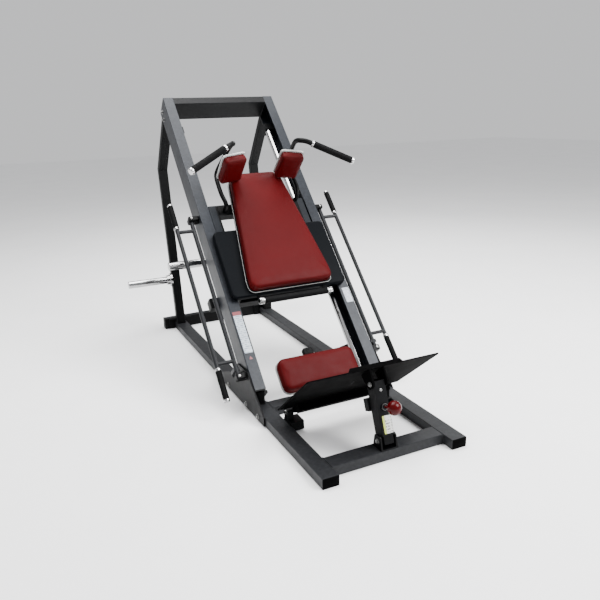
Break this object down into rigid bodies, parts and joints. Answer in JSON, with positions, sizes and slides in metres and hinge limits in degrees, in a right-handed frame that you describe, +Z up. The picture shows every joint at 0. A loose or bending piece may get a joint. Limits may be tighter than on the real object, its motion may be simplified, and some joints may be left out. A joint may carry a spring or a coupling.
{
  "type": "leg press machine",
  "caption": "Plate-loaded leg press and hack squat machine with a padded carriage sliding on inclined rods, a tilting footplate and swinging side safety handles.",
  "frame": {"origin": "on the floor under the middle of the machine's bounding box", "axes": "+Z up, +Y from the footplate end towards the top of the incline, +X to the right seen from the footplate end"},
  "size_m": [1.344, 2.4325, 1.5933],
  "materials": {
    "frame_grey": "metallic charcoal grey powder coat",
    "upright_grey": "glossy metallic blue-grey powder coat",
    "housing_grey": "charcoal grey powder coat over aluminium bearing blocks",
    "satin_black": "satin black powder coat",
    "chrome": "polished",
    "pad_board": "silver-white, satin",
    "vinyl": "deep red upholstery vinyl over foam, fine grain, low sheen",
    "rubber_grip": "matt black, fine ribs",
    "red_knob": "glossy"
  },
  "bodies": {
    "frame": {"base_rail_left": "frame_grey", "base_rail_right": "frame_grey", "front_crossbeam": "frame_grey", "middle_crossbeam": "frame_grey", "rear_crossbeam": "satin_black", "upright_left": "upright_grey", "upright_right": "upright_grey", "upright_foot_left": "satin_black", "upright_foot_right": "satin_black", "top_crossbeam": "frame_grey", "guide_rod_left": "chrome", "guide_rod_right": "chrome", "rod_top_block_left": "satin_black", "rod_top_block_right": "satin_black", "rear_post_left": "satin_black", "rear_post_right": "satin_black", "storage_peg_left": "chrome", "storage_peg_right": "chrome", "gusset_plate_left": "frame_grey", "gusset_plate_right": "frame_grey", "safety_top_bracket_left": "satin_black", "safety_top_bracket_right": "satin_black", "seat_pad": "vinyl", "seat_base": "pad_board", "footplate_bracket_left": "satin_black", "footplate_bracket_right": "satin_black", "strut_base_bracket": "satin_black"},
    "carriage": {"carriage_panel": "satin_black", "carriage_channel_left": "satin_black", "carriage_channel_right": "satin_black", "carriage_side_plate_left": "satin_black", "carriage_side_plate_right": "satin_black", "bearing_housing_left": "housing_grey", "bearing_housing_right": "housing_grey", "weight_horn_left": "chrome", "weight_horn_right": "chrome", "upper_crossbar": "satin_black", "stop_bar": "satin_black", "back_board": "pad_board", "back_pad": "vinyl", "shoulder_pad_left": "vinyl", "shoulder_pad_right": "vinyl", "shoulder_board_left": "pad_board", "shoulder_board_right": "pad_board", "handle_tube_left": "satin_black", "handle_tube_right": "satin_black", "handle_grip_left": "rubber_grip", "handle_grip_right": "rubber_grip", "grip_bar": "rubber_grip"},
    "footplate": {"footplate": "satin_black", "footplate_toe_lip": "satin_black"},
    "strut_inner": {"strut_inner": "satin_black"},
    "strut_outer": {"strut_outer": "frame_grey"},
    "pull_knob": {"pull_knob": "red_knob"},
    "safety_left": {"safety_frame_left": "frame_grey", "safety_grip_lower_left": "rubber_grip", "safety_grip_upper_left": "rubber_grip"},
    "safety_right": {"safety_frame_right": "frame_grey", "safety_grip_lower_right": "rubber_grip", "safety_grip_upper_right": "rubber_grip"}
  },
  "joints": [
    {"name": "carriage_slide", "type": "slide", "parent": "frame", "child": "carriage", "axis": [0, 0.6858, 0.7278], "range_m": [-0.28, 0.52]},
    {"name": "footplate_tilt", "type": "hinge", "parent": "frame", "child": "footplate", "pos_m": [0, -0.68625, 0.098], "axis": [1, 0, 0], "range_deg": [-9, 1.4]},
    {"name": "strut_tilt", "type": "hinge", "parent": "frame", "child": "strut_inner", "pos_m": [0, -1.11625, 0.085], "axis": [1, 0, 0], "range_deg": [-3.6, 0.6]},
    {"name": "strut_extend", "type": "slide", "parent": "strut_inner", "child": "strut_outer", "axis": [0, 0.3404, 0.9403], "range_m": [-0.0108, 0.068]},
    {"name": "pull_pin", "type": "slide", "parent": "strut_outer", "child": "pull_knob", "axis": [0, -0.9403, 0.3404], "range_m": [0, 0.014], "stiffness_N_per_m": 800, "springref_m": -0.005},
    {"name": "safety_left_swing", "type": "hinge", "parent": "frame", "child": "safety_left", "pos_m": [-0.413, -0.45086, 0.11221], "axis": [0, 0.6858, 0.7278], "range_deg": [0, 60]},
    {"name": "safety_right_swing", "type": "hinge", "parent": "frame", "child": "safety_right", "pos_m": [0.413, -0.45086, 0.11221], "axis": [0, 0.6858, 0.7278], "range_deg": [-60, 0]}
  ],
  "couplings": [
    {"joint": "strut_tilt", "follows": "footplate_tilt", "ratio": 0.375},
    {"joint": "strut_extend", "follows": "footplate_tilt", "m_per_rad": -0.4216}
  ]
}
